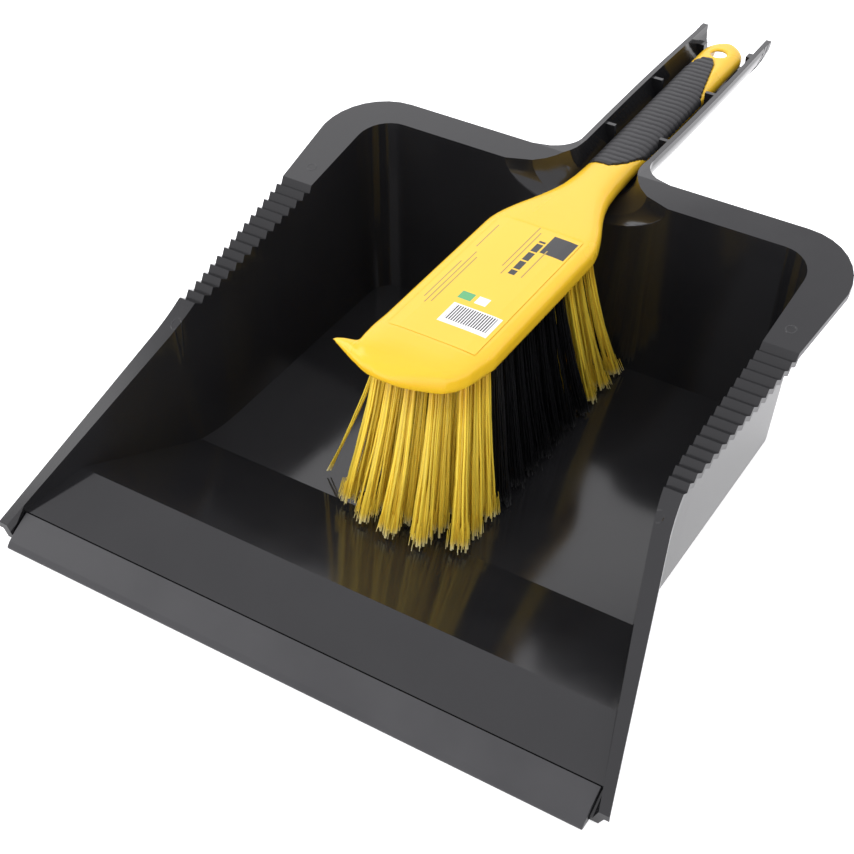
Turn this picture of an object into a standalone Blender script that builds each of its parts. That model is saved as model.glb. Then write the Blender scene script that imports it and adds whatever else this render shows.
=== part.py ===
"""Dust pan with a rubber lip, and the hand brush that lies in its trough handle.

Sizes are in millimetres. X is the width, Y runs from the lip to the end of the handle, Z is up.
Depths are measured back from the front edge of the lip, and `place` puts the middle of the set at Y = 0.
"""

from math import cos, pi, radians, sin, sqrt

import bmesh
import bpy

# ---------------------------------------------------------------- driving sizes
GAP = 0.3  # between pieces that touch
PAST = 5.0  # how far a cutter runs past what it cuts
INTO = 5.0  # how far a joined shape runs into the one that it joins

# Pan, seen from above
LIP_HALF_WIDTH = 155.0
FLOOR_HALF_WIDTH = 119.0
REAR_WALL = 276.0  # depth of the rear wall at the floor
BEND = 118.0  # where the side walls turn outwards
WALL = 2.6
FLOOR_THICK = 2.6
DRAFT_SIDE = 4.8  # how much wider each side is at the top
DRAFT_REAR = 7.0
FLOOR_CORNER = 14.0
RIM_CORNER = 17.5  # inner edge of the rim
BEND_BLEND = 18.0  # half the length over which the bend turns

# Pan, seen from the side
RIM_HEIGHT = 105.7
RIM_SLOPE = 0.152  # the rim falls towards the front
RIM_SPREAD = 2.5  # how much further apart the inner edges are at the rear than at the bend
RIM_THICK = 3.0
RIM_WIDTH_REAR = 16.7
RIM_WIDTH_FRONT = 9.0  # where the teeth end
RIM_EXTRA = 5.3  # how much wider the sides of the rim are at the rear than the rear of it
TEETH = 15
TEETH_REAR = 220.0
TOOTH_PITCH = 6.7
TOOTH_RUN = 2.4  # of the steep face
TOOTH_FALL = 3.5
TEETH_FALL = 12.5  # over the whole toothed stretch
TIP_DEPTH = 6.0  # front tips of the side flanges
TIP_HEIGHT = 8.4
TIP_WIDTH = 5.0
TIP_OUT = 3.0  # of the flange beyond the lip
RIDGE = 46.8  # top of the front ramp
RIDGE_HEIGHT = 21.0
SEAM = 16.4  # where the rubber lip meets the ramp
SEAM_HEIGHT = 11.3
SEAM_STEP = 0.15  # length of the step down to the tongue
FLOOR_RISE = 110.0  # the floor is flat behind this depth

# Rubber lip and the tongue that it is pushed on
TONGUE_THICK = 2.0
TONGUE_DROP = 2.2
TONGUE_SLOPE = 0.57
LIP_FLAP = 10.0
LIP_NOSE = 2.8
LIP_END_GAP = 1.0  # between each end of the strip and the side flange

# Trough handle
HANDLE_END = 473.0
HANDLE_SPACE = 9.0  # from the brush handle to the outside of the trough
HANDLE_SWELL = 1.0
HANDLE_DROP = 1.9  # of its edges below the rim
HANDLE_DEPTH = 22.6
HANDLE_WALL = 2.8
FILLET_OUTER = 20.0
FILLET_INNER = 30.0
RIB_FIRST = 343.5
RIB_SHARE = 0.448  # of the way from the first rib to the end, between ribs
RIB_THICK = 2.4
RIB_DROP = 1.3
RIB_LAST_THICK = 5.0
RIB_LAST_DROP = 5.0
RIB_ROOT = 1.2  # how far a rib runs into the wall of the trough
RIB_SEAT = 5.0  # rise of the seat that is cut in a rib for the brush handle
STRETCH = 14.0  # from a fillet's end to the next section
COLLAR_LENGTH = 4.5
COLLAR_STEP = 0.8
END_RAKE = 15.0  # how far the end of the trough runs forward from its edges to its bottom

# Brush body
BLOCK_FRONT = 108.0
BLOCK_REAR = 234.0
BLOCK_HALF_WIDTH = 30.0
BLOCK_DROP = 4.7  # of its top below the rim
BLOCK_THICK = 16.5
BLOCK_TOP_SQUARE = 4.5  # power of the section's upper half, 2 for an ellipse
BLOCK_UNDER_SQUARE = 3.2
GRIP_HALF_WIDTH = 12.0
GRIP_DROP = 5.7  # of its start below the rim
GRIP_THICK = 12.0
GRIP_RISE = 2.0  # how much higher its end is than its start
GRIP_SQUARE = 2.4
BRUSH_SHORT = 9.0  # of the end of the trough
HANG_HOLE = 4.6
HANG_HOLE_FROM_END = 16.0
END_CHANNEL_HALF_WIDTH = 7.0  # of the hollow under the hole, open at the end
END_CHANNEL_LENGTH = 26.0
END_CHANNEL_ROOF = 2.7
END_CHANNEL_CHAMFER = 2.0
HORN_REACH = 12.3

# Rubber grip
SLEEVE_FRONT = 309.5
SLEEVE_FROM_END = 24.5
SLEEVE_THICK = 1.7
SLEEVE_PROUD = 0.5
SLEEVE_HEIGHT = 5.2  # of its lower edge below the top of the grip
RIB_CLEARANCE = 0.5

# Tufts
TUFT_RADIUS = 3.0
TUFT_HOLE_DEPTH = 11.0
TUFT_COLUMNS = 5
TUFT_ROWS = 13
TUFT_INSET = 19.0  # of the outer tufts of the first row from the front of the block
COLUMN_PITCH = 11.0
ROW_PITCH = 9.67
TUFT_BOW = 8.0  # the middle of the first row is nearer the front
YELLOW_ROWS = 3  # at each end
FAN_ACROSS = 0.42
FAN_FRONT = 0.44
FAN_REAR = 0.33
FAN_MIDDLE = 62.0  # behind the front of the block, where tufts hang straight
TIP_RADIUS_ALONG = 6.3
TIP_RADIUS_YELLOW = 7.8
TIP_RADIUS_BLACK = 9.2

# Label film
LABEL_THICK = 0.2
LABEL_HALF_WIDTH = 23.0
LABEL_FRONT = 134.0
LABEL_REAR = 238.0

SIDES = 8  # of each tuft

# ---------------------------------------------------------------- worked-out sizes
TEETH_FRONT = TEETH_REAR - TEETH * TOOTH_PITCH
MIDDLE = HANDLE_END / 2
RIM_INNER_HALF = FLOOR_HALF_WIDTH + DRAFT_SIDE
RIM_REAR = REAR_WALL + DRAFT_REAR
RIM_OUTER_CORNER = RIM_CORNER + RIM_WIDTH_REAR
RIB_GAP = GRIP_HALF_WIDTH + SLEEVE_PROUD + RIB_CLEARANCE
HANDLE_HALF_WIDTH = GRIP_HALF_WIDTH + HANDLE_SPACE
RIB_PITCH = (HANDLE_END - RIB_FIRST) * RIB_SHARE
BLOCK_TOP = RIM_HEIGHT - BLOCK_DROP
BLOCK_BOTTOM = BLOCK_TOP - BLOCK_THICK
GRIP_TOP = RIM_HEIGHT - GRIP_DROP
GRIP_BOTTOM = GRIP_TOP - GRIP_THICK
BRUSH_END = HANDLE_END - BRUSH_SHORT
SLEEVE_REAR = BRUSH_END - SLEEVE_FROM_END
SLEEVE_LOW = GRIP_TOP - SLEEVE_HEIGHT


def clear_scene():
    for old in list(bpy.data.objects):
        bpy.data.objects.remove(old, do_unlink=True)


def material(name, colour, roughness):
    made = bpy.data.materials.new(name)
    made.use_nodes = True
    shader = made.node_tree.nodes["Principled BSDF"]
    shader.inputs["Base Color"].default_value = (*colour, 1.0)
    shader.inputs["Roughness"].default_value = roughness
    shader.inputs["Metallic"].default_value = 0.0
    return made


def place(x, depth, z):
    """A point of the design in Blender's metres."""
    return (x / 1000, (depth - MIDDLE) / 1000, z / 1000)


def solid(name, points, faces, finish):
    """A closed mesh object from points in millimetres, with its faces turned outwards."""
    mesh = bpy.data.meshes.new(name)
    mesh.from_pydata([place(*point) for point in points], [], faces)
    mesh.materials.append(finish)
    shape = bmesh.new()
    shape.from_mesh(mesh)
    bmesh.ops.recalc_face_normals(shape, faces=shape.faces)
    shape.to_mesh(mesh)
    shape.free()
    made = bpy.data.objects.new(name, mesh)
    bpy.context.scene.collection.objects.link(made)
    return made


def loft(name, sections, finish):
    """A solid through equal closed rings of points, capped at both ends."""
    count = len(sections[0])
    points = [point for ring in sections for point in ring]
    faces = []
    for row in range(len(sections) - 1):
        low = row * count
        for i in range(count):
            j = (i + 1) % count
            faces.append((low + i, low + j, low + count + j, low + count + i))
    faces.append(tuple(range(count)))
    last = (len(sections) - 1) * count
    faces.append(tuple(last + i for i in range(count)))
    return solid(name, points, faces, finish)


def combine(target, operation, tool):
    """Applies a Boolean of the tool to the target and removes the tool."""
    cut = target.modifiers.new(operation.lower(), "BOOLEAN")
    cut.operation = operation
    cut.solver = "EXACT"
    cut.object = tool
    bpy.context.view_layer.update()
    graph = bpy.context.evaluated_depsgraph_get()
    result = bpy.data.meshes.new_from_object(target.evaluated_get(graph))
    target.modifiers.remove(cut)
    target.data = result
    bpy.data.objects.remove(tool, do_unlink=True)
    return target


def smooth(obj, degrees=35):
    obj.data.shade_smooth()
    obj.data.set_sharp_from_angle(angle=radians(degrees))


def between(value, stops):
    """Reads a list of (position, size) pairs as straight lines, flat beyond both ends."""
    if value <= stops[0][0]:
        return stops[0][1]
    for (a, size_a), (b, size_b) in zip(stops, stops[1:]):
        if value <= b:
            return size_a + (size_b - size_a) * (value - a) / (b - a)
    return stops[-1][1]


def bent(depth, size, slope_front, slope_rear):
    """Two straight lines that meet at the bend, with the corner rounded."""
    ahead = depth - BEND
    if ahead < -BEND_BLEND:
        return size + slope_front * ahead
    if ahead > BEND_BLEND:
        return size + slope_rear * ahead
    run = ahead + BEND_BLEND
    turned = (slope_rear - slope_front) * run * run / (4 * BEND_BLEND)
    return size - slope_front * BEND_BLEND + slope_front * run + turned


# ---------------------------------------------------------------- pan
def floor_top(depth):
    tongue_front = SEAM_HEIGHT - TONGUE_DROP - (SEAM - TIP_DEPTH) * TONGUE_SLOPE
    return between(
        depth,
        [
            (TIP_DEPTH, tongue_front),
            (SEAM - SEAM_STEP, SEAM_HEIGHT - TONGUE_DROP),
            (SEAM, SEAM_HEIGHT),
            (RIDGE, RIDGE_HEIGHT),
            (FLOOR_RISE, FLOOR_THICK),
        ],
    )


def floor_under(depth):
    return between(
        depth,
        [
            (TIP_DEPTH, floor_top(TIP_DEPTH) - TONGUE_THICK),
            (SEAM - SEAM_STEP, SEAM_HEIGHT - TONGUE_DROP - TONGUE_THICK),
            (RIDGE, RIDGE_HEIGHT - FLOOR_THICK),
            (FLOOR_RISE, 0.0),
        ],
    )


def rim_top(depth):
    """Height of the rim, which falls towards the front, and of the handle's edges behind it."""
    ahead = RIM_REAR + RIM_WIDTH_REAR - depth
    if ahead <= 0:
        return RIM_HEIGHT - HANDLE_DROP * min(1.0, -ahead / FILLET_OUTER)
    return RIM_HEIGHT - RIM_SLOPE * ahead


def edge_stations():
    """(depth, height, height without teeth) along the top of a side, from the front tip backwards."""
    peak = rim_top(TEETH_REAR)
    fall = TEETH_FALL / TEETH
    flange_top = peak - TEETH_FALL
    stations = [(TIP_DEPTH, TIP_HEIGHT, TIP_HEIGHT)]
    bends = [BEND - BEND_BLEND * share for share in (0.8, 0.45, 0.17)]
    for depth in (SEAM - SEAM_STEP, SEAM, RIDGE, (RIDGE + BEND) / 2 - INTO, *bends):
        share = (depth - TIP_DEPTH) / (TEETH_FRONT - TIP_DEPTH)
        height = TIP_HEIGHT + (flange_top - TIP_HEIGHT) * share
        stations.append((depth, height, height))
    for tooth in range(TEETH, 0, -1):
        depth = TEETH_REAR - tooth * TOOTH_PITCH
        crest = peak - tooth * fall
        stations.append((depth, crest, crest))
        valley = depth + TOOTH_PITCH - TOOTH_RUN
        level = peak - (TEETH_REAR - valley) / TOOTH_PITCH * fall
        stations.append((valley, peak - (tooth - 1) * fall - TOOTH_FALL, level))
    stations.append((TEETH_REAR, peak, peak))
    behind = (TEETH_REAR + RIM_REAR - RIM_CORNER) / 2
    stations.append((behind, rim_top(behind), rim_top(behind)))
    return stations


def pan_ring(inner_floor, inner_top, outer_top, wall_top, wall_floor, heights):
    """The six corners of the wall where it is cut across: inside, over the rim and down the outside."""
    top_in, top_out, floor_in, floor_out = heights
    return [
        (*inner_floor, floor_in),
        (*inner_top, top_in),
        (*outer_top, top_out),
        (*outer_top, top_out - RIM_THICK),
        (*wall_top, top_in - RIM_THICK),
        (*wall_floor, floor_out),
    ]


def side_rings():
    """Wall sections along the right side, then round the rear right corner."""
    floor_slope = (FLOOR_HALF_WIDTH - LIP_HALF_WIDTH) / (BEND - SEAM)
    tip_inner = LIP_HALF_WIDTH + TIP_OUT
    top_slope = (RIM_INNER_HALF - tip_inner) / (BEND - TIP_DEPTH)
    rim_outer = RIM_INNER_HALF + RIM_WIDTH_FRONT
    corner_inner = RIM_INNER_HALF + RIM_SPREAD
    corner_outer = corner_inner - RIM_CORNER + RIM_OUTER_CORNER + RIM_EXTRA
    straight = RIM_REAR - RIM_CORNER - BEND
    out_slope_front = (rim_outer - tip_inner - TIP_WIDTH) / (BEND - TIP_DEPTH)
    out_slope_rear = (corner_outer - rim_outer) / straight
    in_slope_rear = RIM_SPREAD / straight
    rings = []
    for depth, top, level in edge_stations():
        inner_floor = bent(depth, FLOOR_HALF_WIDTH, floor_slope, 0.0)
        inner_floor = min(inner_floor, LIP_HALF_WIDTH + 2 * GAP)
        inner_top = bent(depth, RIM_INNER_HALF, top_slope, in_slope_rear)
        outer_top = bent(depth, rim_outer, out_slope_front, out_slope_rear)
        lean = inner_top - inner_floor
        inside = inner_floor + lean * top / level
        outside = inner_floor + WALL + lean * (top - RIM_THICK) / (level - RIM_THICK)
        rings.append(
            pan_ring(
                (inner_floor, depth),
                (inside, depth),
                (outer_top, depth),
                (outside, depth),
                (inner_floor + WALL, depth),
                (top, top, floor_top(depth), floor_under(depth)),
            )
        )
    steps = 8
    for step in range(steps + 1):
        turn = radians(90 * step / steps)
        across, along = cos(turn), sin(turn)
        points = []
        for half, rear, radius in (
            (FLOOR_HALF_WIDTH, REAR_WALL, FLOOR_CORNER),
            (corner_inner, RIM_REAR, RIM_CORNER),
            (corner_outer, RIM_REAR + RIM_WIDTH_REAR, RIM_OUTER_CORNER),
            (corner_inner + WALL, RIM_REAR + WALL, RIM_CORNER + WALL),
            (FLOOR_HALF_WIDTH + WALL, REAR_WALL + WALL, FLOOR_CORNER + WALL),
        ):
            x = half - radius + radius * across
            points.append((x, rear - radius + radius * along))
        top_in, top_out = rim_top(points[1][1]), rim_top(points[2][1])
        rings.append(pan_ring(*points, (top_in, top_out, FLOOR_THICK, 0.0)))
    return rings


def pan_shell(finish):
    """Floor, walls and rim as one closed skin."""
    right = side_rings()
    left = [[(-x, y, z) for x, y, z in ring] for ring in right]
    path = left + right[::-1]
    points = [point for ring in path for point in ring]
    faces = []
    for i in range(len(path) - 1):
        for j in range(5):
            a = i * 6 + j
            faces.append((a, a + 1, a + 7, a + 6))
    last = len(path) - 1
    flat_from = next(i for i, ring in enumerate(right) if ring[0][1] >= FLOOR_RISE)
    for corner in (0, 5):
        for i in range(flat_from):
            a, b = i * 6 + corner, (i + 1) * 6 + corner
            c, d = (last - i - 1) * 6 + corner, (last - i) * 6 + corner
            faces.append((a, b, c, d))
        flat = range(flat_from, last - flat_from + 1)
        faces.append(tuple(i * 6 + corner for i in flat))
    for i in (0, last):
        faces.append(tuple(i * 6 + j for j in range(6)))
    faces.append((0, 5, last * 6 + 5, last * 6))
    return solid("pan_body", points, faces, finish)


def handle_half_width(depth):
    """Outer half width of the trough handle, with its fillet into the rear rim."""
    rear_edge = RIM_REAR + RIM_WIDTH_REAR
    start = rear_edge + FILLET_OUTER
    if depth >= start:
        along = (depth - start) / (HANDLE_END - start)
        return HANDLE_HALF_WIDTH + HANDLE_SWELL * sin(pi * min(along, 1.0))
    ahead = min(start - depth, FILLET_OUTER)
    return HANDLE_HALF_WIDTH + FILLET_OUTER - sqrt(FILLET_OUTER**2 - ahead**2)


def trough_half_width(depth):
    """Inner half width, with a larger fillet that opens into the pan."""
    start = RIM_REAR + FILLET_INNER
    plain = max(handle_half_width(max(depth, RIM_REAR + RIM_WIDTH_REAR + FILLET_OUTER)), 0)
    if depth >= start:
        return plain - HANDLE_WALL
    ahead = min(start - depth, FILLET_INNER)
    return plain - HANDLE_WALL + FILLET_INNER - sqrt(FILLET_INNER**2 - ahead**2)


def half_round(half_width, depth, top, drop, above=0.0, steps=16):
    """A half-ellipse hanging from `top`, and a rectangle over it when it has to cut upwards."""
    ring = []
    if above:
        ring += [(-half_width, depth, top + above), (half_width, depth, top + above)]
    for step in range(steps + 1):
        turn = pi * step / steps
        ring.append((half_width * cos(turn), depth, top - drop * sin(turn)))
    return ring


def end_depth(z):
    """Where the trough ends at each height: its bottom is cut back further than its edges."""
    below = max(0.0, rim_top(HANDLE_END) - z)
    return HANDLE_END - END_RAKE * (below / HANDLE_DEPTH) ** 1.5


def raked(ring):
    """The ring leaned like the end of the trough."""
    return [(x, depth + end_depth(z) - HANDLE_END, z) for x, depth, z in ring]


def spaced(start, stop, count):
    return [start + (stop - start) * i / (count - 1) for i in range(count)]


def add_handle(pan, finish):
    """The trough, its wide mouth through the rear wall, and the rim's fillets on both sides of it."""
    rear_edge = RIM_REAR + RIM_WIDTH_REAR
    start = RIM_REAR + FILLET_INNER
    mouth = spaced(RIM_REAR, start, 8)
    shell = [RIM_REAR + GAP] + mouth[1:] + spaced(start + STRETCH, HANDLE_END, 9)
    rings = []
    for depth in shell:
        half = trough_half_width(max(depth, RIM_REAR + 0.05)) + HANDLE_WALL
        rings.append(half_round(half, depth, rim_top(depth) - 0.4, HANDLE_DEPTH))
    combine(pan, "UNION", loft("handle", rings, finish))

    fillet = spaced(rear_edge, rear_edge + FILLET_OUTER, 8)
    rings = []
    plain = rear_edge + FILLET_OUTER + STRETCH
    for depth in [rear_edge - INTO] + fillet + spaced(plain, HANDLE_END, 9):
        half = handle_half_width(max(depth, rear_edge + 0.05))
        high = rim_top(depth)
        low = high - RIM_THICK
        rings.append([(half, depth, high), (half, depth, low), (-half, depth, low), (-half, depth, high)])
    combine(pan, "UNION", loft("neck_rim", rings, finish))

    top = rim_top(HANDLE_END)
    for step in (1, 2):
        front = HANDLE_END - (3 - step) * COLLAR_LENGTH
        half = handle_half_width(front) + step * COLLAR_STEP * 0.3
        drop = HANDLE_DEPTH + step * COLLAR_STEP
        rings = [raked(half_round(half, depth, top, drop)) for depth in (front, HANDLE_END + 2)]
        combine(pan, "UNION", loft("collar", rings, finish))

    rings = []
    for depth in [REAR_WALL - 2 * PAST] + mouth + spaced(start + STRETCH, HANDLE_END + PAST, 9):
        half = trough_half_width(max(depth, RIM_REAR + 0.05))
        drop = HANDLE_DEPTH - HANDLE_WALL
        rings.append(half_round(half, depth, rim_top(depth), drop, above=2 * PAST))
    combine(pan, "DIFFERENCE", loft("trough", rings, finish))

    levels = spaced(top + PAST, top - HANDLE_DEPTH - PAST, 12)
    outline = [(end_depth(z), z) for z in levels]
    outline += [(HANDLE_END + END_RAKE, levels[-1]), (HANDLE_END + END_RAKE, levels[0])]
    wide = HANDLE_HALF_WIDTH * 2
    rings = [[(x, depth, z) for depth, z in outline] for x in (-wide, wide)]
    combine(pan, "DIFFERENCE", loft("end", rings, finish))


def rib_ring(half, depth, top):
    """A rib across the trough, cut out to take the brush handle."""
    under = GRIP_BOTTOM - GAP
    ring = [(RIB_GAP, depth, top), (half + RIB_ROOT, depth, top)]
    steps = 12
    for step in range(1, steps):
        turn = pi * step / steps
        z = rim_top(depth) - (HANDLE_DEPTH - RIB_ROOT) * sin(turn)
        if z < top - 1:
            ring.append(((half + RIB_ROOT) * cos(turn), depth, z))
    ring += [(-half - RIB_ROOT, depth, top), (-RIB_GAP, depth, top)]
    for step in range(9):
        turn = pi * step / 8
        z = under + RIB_SEAT * (1 - sin(turn))
        ring.append((-RIB_GAP * cos(turn), depth, z))
    return ring


def add_ribs(pan, finish):
    for i in range(3):
        thick = RIB_LAST_THICK if i == 2 else RIB_THICK
        drop = RIB_LAST_DROP if i == 2 else RIB_DROP
        middle = RIB_FIRST + i * RIB_PITCH
        half = trough_half_width(middle)
        ends = (middle - thick / 2, middle + thick / 2)
        rings = [rib_ring(half, depth, rim_top(depth) - drop) for depth in ends]
        combine(pan, "UNION", loft("rib", rings, finish))


def build_pan(finish):
    pan = pan_shell(finish)
    add_handle(pan, finish)
    add_ribs(pan, finish)
    smooth(pan)


# ---------------------------------------------------------------- rubber lip
def build_lip(finish):
    """A strip with a slot in its rear edge that takes the pan's tongue."""
    rear = SEAM - SEAM_STEP - GAP
    slot_front = TIP_DEPTH - GAP
    outline = [
        (rear, SEAM_HEIGHT - 0.1),
        (rear / 2, SEAM_HEIGHT * 0.62),
        (2.2, LIP_NOSE + 0.6),
        (0.5, LIP_NOSE - 1.2),
        (0.0, 0.7),
        (0.5, 0.0),
        (LIP_FLAP, 0.0),
        (LIP_FLAP, floor_under(LIP_FLAP) - GAP),
        (slot_front, floor_under(TIP_DEPTH) - GAP),
        (slot_front, floor_top(TIP_DEPTH) + GAP),
        (rear, floor_top(rear) + GAP),
    ]
    half = LIP_HALF_WIDTH - LIP_END_GAP
    ends = (-half, half)
    lip = loft("rubber_lip", [[(x, d, z) for d, z in outline] for x in ends], finish)
    smooth(lip)


# ---------------------------------------------------------------- brush body
FRONT = [
    # depth behind the front, middle, half width, how far top and bottom draw in
    (0.0, -10.0, 3.0, 8.5, 6.0),
    (0.6, -10.0, 6.5, 7.0, 4.4),
    (2.0, -10.0, 12.0, 5.0, 2.8),
    (4.0, -9.0, 17.0, 3.2, 1.6),
    (8.0, -5.0, 24.0, 1.5, 0.6),
    (12.0, -3.5, 26.5, 0.8, 0.2),
    (17.0, -2.2, 28.2, 0.3, 0.0),
    (24.0, -1.5, 29.0, 0.0, 0.0),
    (34.0, -0.2, 29.8, 0.0, 0.0),
]
NECK = [
    # depth behind the block, share of the block's width, height and underside that is left
    (0.0, 1.0, 1.0, 1.0),
    (4.0, 0.985, 1.0, 1.0),
    (8.0, 0.945, 1.0, 1.0),
    (12.0, 0.885, 0.99, 0.97),
    (17.0, 0.79, 0.96, 0.85),
    (22.0, 0.68, 0.90, 0.62),
    (28.0, 0.53, 0.80, 0.33),
    (34.0, 0.39, 0.66, 0.10),
    (42.0, 0.23, 0.46, 0.0),
    (50.7, 0.11, 0.26, 0.0),
    (62.0, 0.04, 0.10, 0.0),
    (82.0, 0.0, 0.0, 0.0),
]


def rounded(depth, middle_x, half_width, top, bottom, square, under, shrink=0.0, steps=28):
    """A rounded section across the brush, squarer or rounder above and below its widest line."""
    half = half_width - shrink
    middle, rise = (top + bottom) / 2, (top - bottom) / 2 - shrink
    ring = []
    for step in range(steps):
        turn = 2 * pi * (step + 0.5) / steps
        c, s = cos(turn), sin(turn)
        power = square if s > 0 else under
        x = middle_x + half * abs(c) ** (2 / power) * (1 if c > 0 else -1)
        z = middle + rise * abs(s) ** (2 / power) * (1 if s > 0 else -1)
        ring.append((x, depth, z))
    return ring


def mix(low, high, share):
    return low + (high - low) * share


def grip_lift(depth):
    """How far the handle has risen by this depth."""
    start = BLOCK_REAR + NECK[-1][0]
    return GRIP_RISE * max(0.0, depth - start) / (BRUSH_END - start)


def brush_sections():
    """(depth, middle, half width, top, bottom, squareness above, below) from the block to the end."""
    sections = []
    block_square = (BLOCK_TOP_SQUARE, BLOCK_UNDER_SQUARE)
    for behind, middle, half, above, below in FRONT:
        size = half * BLOCK_HALF_WIDTH / FRONT[-1][2]
        heights = (BLOCK_TOP - above, BLOCK_BOTTOM + below)
        sections.append((BLOCK_FRONT + behind, middle, size, *heights, *block_square))
    for behind, width, top, under in NECK:
        half = mix(GRIP_HALF_WIDTH, BLOCK_HALF_WIDTH, width)
        heights = (mix(GRIP_TOP, BLOCK_TOP, top), mix(GRIP_BOTTOM, BLOCK_BOTTOM, under))
        square = mix(GRIP_SQUARE, BLOCK_TOP_SQUARE, width)
        below = mix(GRIP_SQUARE, BLOCK_UNDER_SQUARE, width)
        sections.append((BLOCK_REAR + behind, 0.0, half, *heights, square, below))
    grip = (GRIP_SQUARE, GRIP_SQUARE)
    radius = GRIP_HALF_WIDTH
    for turn in (0, 25, 45, 60, 72, 82):
        depth = BRUSH_END - radius + radius * sin(radians(turn)) / sin(radians(82))
        half = radius * cos(radians(turn)) + 0.2
        shrink = 2.0 * (1 - cos(radians(turn)))
        lift = grip_lift(depth)
        sections.append((depth, 0.0, half, GRIP_TOP + lift - shrink, GRIP_BOTTOM + lift + shrink, *grip))
    return sections


def horn(finish):
    """The pointed front left corner of the block, for scraping and knocking off dirt."""
    tip = BLOCK_HALF_WIDTH + HORN_REACH
    middle = (BLOCK_TOP + BLOCK_BOTTOM) / 2
    rings = []
    for share, behind, rise, half_depth, half_height in (
        (0.28, 8.5, -1.0, 8.0, 6.5),
        (0.52, 8.0, -0.5, 7.2, 5.6),
        (0.71, 8.6, 0.5, 4.8, 4.6),
        (0.85, 9.0, 1.3, 2.8, 3.0),
        (0.95, 9.2, 1.7, 1.4, 1.5),
        (1.00, 9.2, 1.9, 0.5, 0.5),
    ):
        ring = []
        for step in range(12):
            turn = 2 * pi * step / 12
            depth = BLOCK_FRONT + behind + half_depth * cos(turn)
            ring.append((-tip * share, depth, middle + rise + half_height * sin(turn)))
        rings.append(ring)
    return loft("horn", rings, finish)


def sleeve_outline(grow):
    """Edge of the rubber grip seen from above: slanted at the front, and a tongue at the rear."""
    wide = GRIP_HALF_WIDTH + 6
    return [
        (0.5, SLEEVE_FRONT - grow * 1.3),
        (7.0, SLEEVE_FRONT + 8 - grow * 1.3),
        (GRIP_HALF_WIDTH, SLEEVE_FRONT + 22 - grow * 1.3),
        (wide, SLEEVE_FRONT + 44 - grow * 1.3),
        (wide, SLEEVE_REAR - 43 + grow),
        (GRIP_HALF_WIDTH - 1 + grow, SLEEVE_REAR - 40 + grow),
        (3.0 + grow, SLEEVE_REAR - 5 + grow),
        (0.0 + grow, SLEEVE_REAR + grow),
        (-6.0 - grow, SLEEVE_REAR + grow),
        (-9.0 - grow, SLEEVE_REAR - 4 + grow),
        (-wide, SLEEVE_REAR - 26 + grow),
        (-wide, SLEEVE_FRONT + 2.5 - grow * 1.3),
    ]


def sleeve_zone(name, grow, finish):
    """The space that the grip takes."""
    levels = (SLEEVE_LOW - grow, GRIP_TOP + GRIP_RISE + 4)
    outline = sleeve_outline(grow)
    return loft(name, [[(x, d, z) for x, d in outline] for z in levels], finish)


def handle_loft(name, shrink, start, stop, finish):
    """A stretch of the brush handle, thinner by `shrink` all round."""
    stations = [(d, *rest) for d, *rest in brush_sections() if start < d < stop]
    width = {d: rest for d, *rest in brush_sections()}
    known = sorted(width)

    def read(depth):
        before = max(d for d in known if d <= depth)
        after = min(d for d in known if d >= depth)
        share = 0.0 if after == before else (depth - before) / (after - before)
        pairs = zip(width[before], width[after])
        return (depth, *[a + (b - a) * share for a, b in pairs])

    rows = [read(start)] + stations + [read(stop)]
    return loft(name, [rounded(*row, shrink=shrink) for row in rows], finish)


def tuft_roots():
    """(row, column, x, depth) of each tuft where it leaves the block."""
    first = BLOCK_FRONT + TUFT_INSET
    outermost = (TUFT_COLUMNS - 1) / 2 * COLUMN_PITCH
    roots = []
    for row in range(TUFT_ROWS):
        bow = TUFT_BOW * (1 - row / (TUFT_ROWS - 1)) ** 2
        for column in range(TUFT_COLUMNS):
            x = column * COLUMN_PITCH - outermost
            roots.append((row, column, x, first + row * ROW_PITCH - bow * (1 - (x / outermost) ** 2)))
    return roots


def ellipse(x, depth, z, across, along, sides=SIDES):
    ring = []
    for step in range(sides):
        turn = 2 * pi * (step + 0.5) / sides
        ring.append((x + across * cos(turn), depth + along * sin(turn), z))
    return ring


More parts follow.
